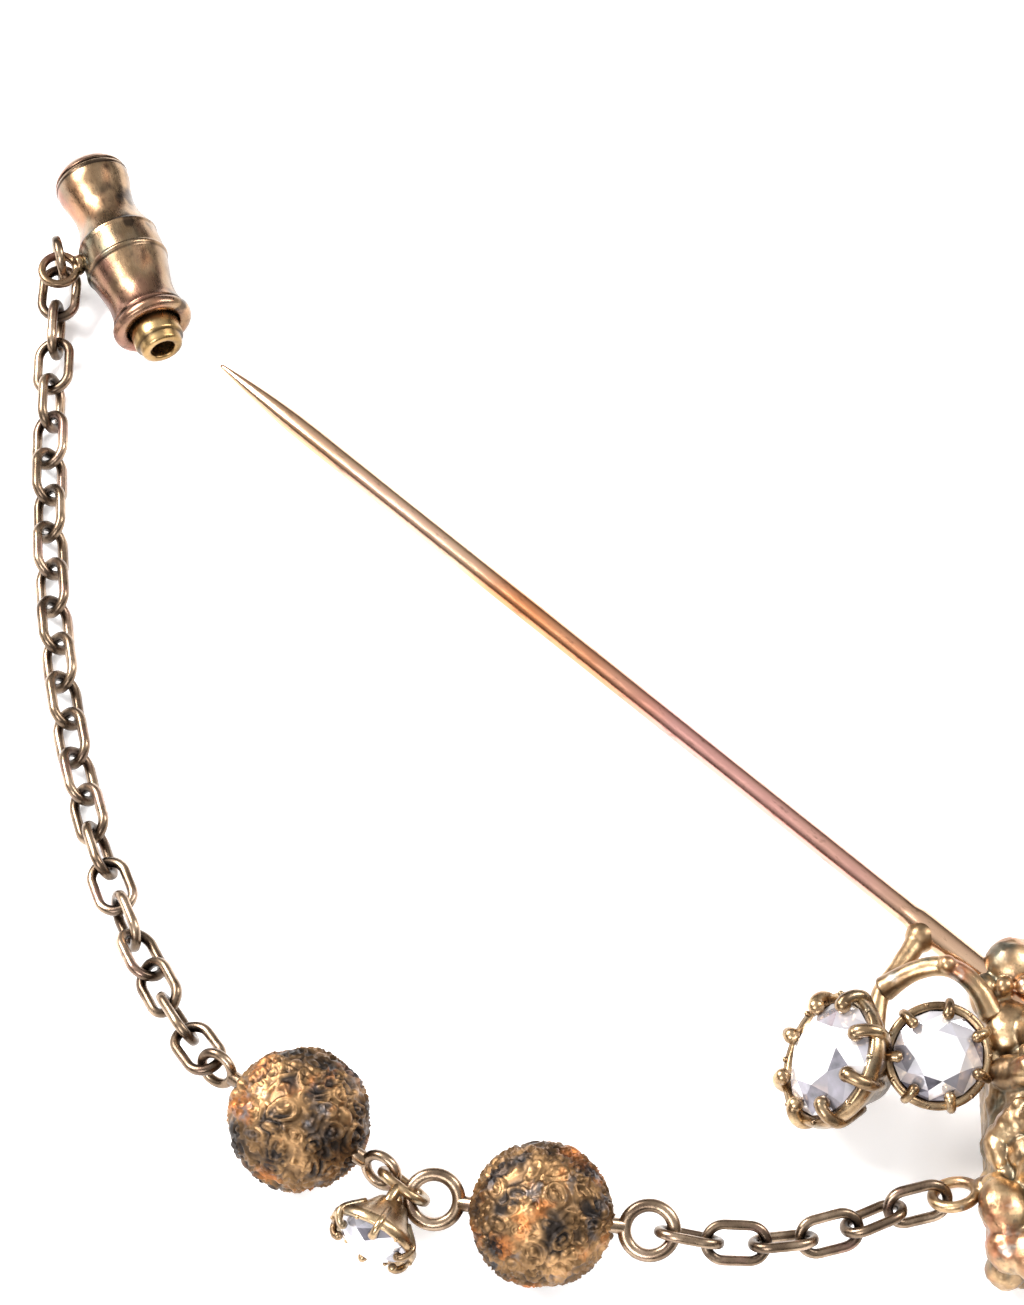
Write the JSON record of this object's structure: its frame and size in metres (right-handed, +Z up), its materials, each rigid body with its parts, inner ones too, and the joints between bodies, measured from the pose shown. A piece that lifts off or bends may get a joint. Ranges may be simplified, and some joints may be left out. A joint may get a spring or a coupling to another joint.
{
  "type": "hat pin",
  "caption": "Short hat pin: a jewelled foliate head on a tapered wire, with a chain, pierced beads and a turned guard that grips the point.",
  "frame": {"origin": "on the axis of the pin wire, where the wire enters the head", "axes": "+X along the pin wire from its point to the head, +Z up from the surface the pin lies on"},
  "size_m": [0.0898, 0.0417, 0.0092],
  "materials": {
    "pin_gold": "polished gold plate",
    "head_gold": "antiqued gold plate",
    "bead_gold": "antiqued gold plate, dark in the hollows",
    "chain_gold": "worn gold plate",
    "guard_brass": "tarnished, lightly scratched",
    "spring_steel": "plain",
    "clear_stone": "faceted, foil backed"
  },
  "bodies": {
    "head": {"pin_wire": "pin_gold", "stem_strut": "head_gold", "gallery_arch": "head_gold", "head_casting": "head_gold", "head_back_plate": "head_gold", "front_cup": "head_gold", "front_stone": "clear_stone", "side_cup": "head_gold", "side_stone": "clear_stone", "centre_cup": "head_gold", "centre_stone": "clear_stone", "chain_eye": "head_gold"},
    "short_link_1": {"short_link_1": "chain_gold"},
    "short_link_2": {"short_link_2": "chain_gold"},
    "short_link_3": {"short_link_3": "chain_gold"},
    "short_link_4": {"short_link_4": "chain_gold"},
    "short_link_5": {"short_link_5": "chain_gold"},
    "short_link_6": {"short_link_6": "chain_gold"},
    "bead_2_wire": {"bead_2_wire": "chain_gold"},
    "bead_2": {"bead_2": "bead_gold"},
    "station": {"station_cup": "head_gold", "station_stone": "clear_stone"},
    "bead_1_wire": {"bead_1_wire": "chain_gold"},
    "bead_1": {"bead_1": "bead_gold"},
    "long_link_01": {"long_link_01": "chain_gold"},
    "long_link_02": {"long_link_02": "chain_gold"},
    "long_link_03": {"long_link_03": "chain_gold"},
    "long_link_04": {"long_link_04": "chain_gold"},
    "long_link_05": {"long_link_05": "chain_gold"},
    "long_link_06": {"long_link_06": "chain_gold"},
    "long_link_07": {"long_link_07": "chain_gold"},
    "long_link_08": {"long_link_08": "chain_gold"},
    "long_link_09": {"long_link_09": "chain_gold"},
    "long_link_10": {"long_link_10": "chain_gold"},
    "long_link_11": {"long_link_11": "chain_gold"},
    "long_link_12": {"long_link_12": "chain_gold"},
    "long_link_13": {"long_link_13": "chain_gold"},
    "long_link_14": {"long_link_14": "chain_gold"},
    "long_link_15": {"long_link_15": "chain_gold"},
    "long_link_16": {"long_link_16": "chain_gold"},
    "long_link_17": {"long_link_17": "chain_gold"},
    "long_link_18": {"long_link_18": "chain_gold"},
    "long_link_19": {"long_link_19": "chain_gold"},
    "long_link_20": {"long_link_20": "chain_gold"},
    "long_link_21": {"long_link_21": "chain_gold"},
    "long_link_22": {"long_link_22": "chain_gold"},
    "guard_link": {"guard_link": "chain_gold"},
    "guard": {"guard_barrel": "guard_brass", "guard_cap": "guard_brass", "guard_seat": "guard_brass", "guard_spring": "spring_steel", "guard_eye": "guard_brass"},
    "nozzle": {"guard_nozzle": "guard_brass", "guard_balls": "spring_steel"}
  },
  "joints": [
    {"name": "short_link_1_swing", "type": "hinge", "parent": "head", "child": "short_link_1", "pos_m": [0.00759, -0.01094, -0.00023], "axis": [0, 0, 1], "range_deg": [0, 8]},
    {"name": "short_link_2_swing", "type": "hinge", "parent": "short_link_1", "child": "short_link_2", "pos_m": [0.00631, -0.01292, -0.00038], "axis": [0, 0, 1], "range_deg": [0, 8]},
    {"name": "short_link_3_swing", "type": "hinge", "parent": "short_link_2", "child": "short_link_3", "pos_m": [0.00538, -0.01508, -0.00045], "axis": [0, 0, 1], "range_deg": [0, 8]},
    {"name": "short_link_4_swing", "type": "hinge", "parent": "short_link_3", "child": "short_link_4", "pos_m": [0.00415, -0.0171, -0.00044], "axis": [0, 0, 1], "range_deg": [0, 8]},
    {"name": "short_link_5_swing", "type": "hinge", "parent": "short_link_4", "child": "short_link_5", "pos_m": [0.00265, -0.01891, -0.00037], "axis": [0, 0, 1], "range_deg": [0, 8]},
    {"name": "short_link_6_swing", "type": "hinge", "parent": "short_link_5", "child": "short_link_6", "pos_m": [0.0009, -0.02048, -0.00021], "axis": [0, 0, 1], "range_deg": [0, 8]},
    {"name": "bead_2_wire_swing", "type": "hinge", "parent": "short_link_6", "child": "bead_2_wire", "pos_m": [-0.00105, -0.02179, 0.00001], "axis": [0, 0, 1], "range_deg": [0, 15]},
    {"name": "bead_2_spin", "type": "hinge", "parent": "bead_2_wire", "child": "bead_2", "pos_m": [-0.00622, -0.02528, 0.00001], "axis": [-0.8281, -0.5606, 0], "continuous": true},
    {"name": "station_swing", "type": "hinge", "parent": "bead_2_wire", "child": "station", "pos_m": [-0.01138, -0.02878, 0.00001], "axis": [0, 0, 1], "range_deg": [0, 10]},
    {"name": "bead_1_wire_swing", "type": "hinge", "parent": "station", "child": "bead_1_wire", "pos_m": [-0.01322, -0.02888, 0.00001], "axis": [0, 0, 1], "range_deg": [0, 15]},
    {"name": "bead_1_spin", "type": "hinge", "parent": "bead_1_wire", "child": "bead_1", "pos_m": [-0.01872, -0.02973, 0.00001], "axis": [-0.9882, -0.153, 0], "continuous": true},
    {"name": "long_link_01_swing", "type": "hinge", "parent": "bead_1_wire", "child": "long_link_01", "pos_m": [-0.02423, -0.03059, 0.00001], "axis": [0, 0, 1], "range_deg": [0, 6]},
    {"name": "long_link_02_swing", "type": "hinge", "parent": "long_link_01", "child": "long_link_02", "pos_m": [-0.02642, -0.02995, -0.0006], "axis": [0, 0, 1], "range_deg": [0, 6]},
    {"name": "long_link_03_swing", "type": "hinge", "parent": "long_link_02", "child": "long_link_03", "pos_m": [-0.02859, -0.02922, -0.00114], "axis": [0, 0, 1], "range_deg": [0, 6]},
    {"name": "long_link_04_swing", "type": "hinge", "parent": "long_link_03", "child": "long_link_04", "pos_m": [-0.03075, -0.0284, -0.0016], "axis": [0, 0, 1], "range_deg": [0, 6]},
    {"name": "long_link_05_swing", "type": "hinge", "parent": "long_link_04", "child": "long_link_05", "pos_m": [-0.03289, -0.02748, -0.00199], "axis": [0, 0, 1], "range_deg": [0, 6]},
    {"name": "long_link_06_swing", "type": "hinge", "parent": "long_link_05", "child": "long_link_06", "pos_m": [-0.035, -0.02647, -0.0023], "axis": [0, 0, 1], "range_deg": [0, 6]},
    {"name": "long_link_07_swing", "type": "hinge", "parent": "long_link_06", "child": "long_link_07", "pos_m": [-0.03708, -0.02538, -0.00253], "axis": [0, 0, 1], "range_deg": [0, 6]},
    {"name": "long_link_08_swing", "type": "hinge", "parent": "long_link_07", "child": "long_link_08", "pos_m": [-0.03912, -0.02422, -0.00269], "axis": [0, 0, 1], "range_deg": [0, 6]},
    {"name": "long_link_09_swing", "type": "hinge", "parent": "long_link_08", "child": "long_link_09", "pos_m": [-0.04113, -0.02299, -0.00277], "axis": [0, 0, 1], "range_deg": [0, 6]},
    {"name": "long_link_10_swing", "type": "hinge", "parent": "long_link_09", "child": "long_link_10", "pos_m": [-0.0431, -0.02169, -0.00277], "axis": [0, 0, 1], "range_deg": [0, 6]},
    {"name": "long_link_11_swing", "type": "hinge", "parent": "long_link_10", "child": "long_link_11", "pos_m": [-0.04503, -0.02033, -0.00277], "axis": [0, 0, 1], "range_deg": [0, 6]},
    {"name": "long_link_12_swing", "type": "hinge", "parent": "long_link_11", "child": "long_link_12", "pos_m": [-0.04691, -0.01892, -0.00277], "axis": [0, 0, 1], "range_deg": [0, 6]},
    {"name": "long_link_13_swing", "type": "hinge", "parent": "long_link_12", "child": "long_link_13", "pos_m": [-0.04876, -0.01745, -0.00277], "axis": [0, 0, 1], "range_deg": [0, 6]},
    {"name": "long_link_14_swing", "type": "hinge", "parent": "long_link_13", "child": "long_link_14", "pos_m": [-0.05057, -0.01594, -0.00277], "axis": [0, 0, 1], "range_deg": [0, 6]},
    {"name": "long_link_15_swing", "type": "hinge", "parent": "long_link_14", "child": "long_link_15", "pos_m": [-0.05234, -0.01438, -0.00277], "axis": [0, 0, 1], "range_deg": [0, 6]},
    {"name": "long_link_16_swing", "type": "hinge", "parent": "long_link_15", "child": "long_link_16", "pos_m": [-0.05407, -0.01278, -0.00277], "axis": [0, 0, 1], "range_deg": [0, 6]},
    {"name": "long_link_17_swing", "type": "hinge", "parent": "long_link_16", "child": "long_link_17", "pos_m": [-0.05577, -0.01115, -0.00277], "axis": [0, 0, 1], "range_deg": [0, 6]},
    {"name": "long_link_18_swing", "type": "hinge", "parent": "long_link_17", "child": "long_link_18", "pos_m": [-0.05744, -0.00948, -0.00277], "axis": [0, 0, 1], "range_deg": [0, 6]},
    {"name": "long_link_19_swing", "type": "hinge", "parent": "long_link_18", "child": "long_link_19", "pos_m": [-0.05908, -0.00779, -0.00267], "axis": [0, 0, 1], "range_deg": [0, 6]},
    {"name": "long_link_20_swing", "type": "hinge", "parent": "long_link_19", "child": "long_link_20", "pos_m": [-0.06069, -0.00606, -0.00259], "axis": [0, 0, 1], "range_deg": [0, 6]},
    {"name": "long_link_21_swing", "type": "hinge", "parent": "long_link_20", "child": "long_link_21", "pos_m": [-0.06227, -0.00432, -0.00249], "axis": [0, 0, 1], "range_deg": [0, 6]},
    {"name": "long_link_22_swing", "type": "hinge", "parent": "long_link_21", "child": "long_link_22", "pos_m": [-0.06383, -0.00255, -0.0024], "axis": [0, 0, 1], "range_deg": [0, 6]},
    {"name": "guard_link_swing", "type": "hinge", "parent": "long_link_22", "child": "guard_link", "pos_m": [-0.06545, -0.0006, -0.0026], "axis": [0, 0, 1], "range_deg": [0, 10]},
    {"name": "guard_swing", "type": "hinge", "parent": "guard_link", "child": "guard", "pos_m": [-0.06588, -0.0003, -0.00169], "axis": [0, 0, 1], "range_deg": [-10, 10]},
    {"name": "nozzle_slide", "type": "slide", "parent": "guard", "child": "nozzle", "axis": [0.9011, -0.4337, 0], "range_m": [-0.0008, 0], "stiffness_N_per_m": 150, "springref_m": 0.0005, "deforming": ["guard_spring"]}
  ],
  "couplings": [
    {"joint": "long_link_02_swing", "follows": "long_link_01_swing", "ratio": 1},
    {"joint": "long_link_03_swing", "follows": "long_link_01_swing", "ratio": 1},
    {"joint": "long_link_04_swing", "follows": "long_link_01_swing", "ratio": 1},
    {"joint": "long_link_05_swing", "follows": "long_link_01_swing", "ratio": 1},
    {"joint": "long_link_06_swing", "follows": "long_link_01_swing", "ratio": 1},
    {"joint": "long_link_07_swing", "follows": "long_link_01_swing", "ratio": 1},
    {"joint": "long_link_08_swing", "follows": "long_link_01_swing", "ratio": 1},
    {"joint": "long_link_09_swing", "follows": "long_link_01_swing", "ratio": 1},
    {"joint": "long_link_10_swing", "follows": "long_link_01_swing", "ratio": 1},
    {"joint": "long_link_11_swing", "follows": "long_link_01_swing", "ratio": 1},
    {"joint": "long_link_12_swing", "follows": "long_link_01_swing", "ratio": 1},
    {"joint": "long_link_13_swing", "follows": "long_link_01_swing", "ratio": 1},
    {"joint": "long_link_14_swing", "follows": "long_link_01_swing", "ratio": 1},
    {"joint": "long_link_15_swing", "follows": "long_link_01_swing", "ratio": 1},
    {"joint": "long_link_16_swing", "follows": "long_link_01_swing", "ratio": 1},
    {"joint": "long_link_17_swing", "follows": "long_link_01_swing", "ratio": 1},
    {"joint": "long_link_18_swing", "follows": "long_link_01_swing", "ratio": 1},
    {"joint": "long_link_19_swing", "follows": "long_link_01_swing", "ratio": 1},
    {"joint": "long_link_20_swing", "follows": "long_link_01_swing", "ratio": 1},
    {"joint": "long_link_21_swing", "follows": "long_link_01_swing", "ratio": 1},
    {"joint": "long_link_22_swing", "follows": "long_link_01_swing", "ratio": 1}
  ]
}
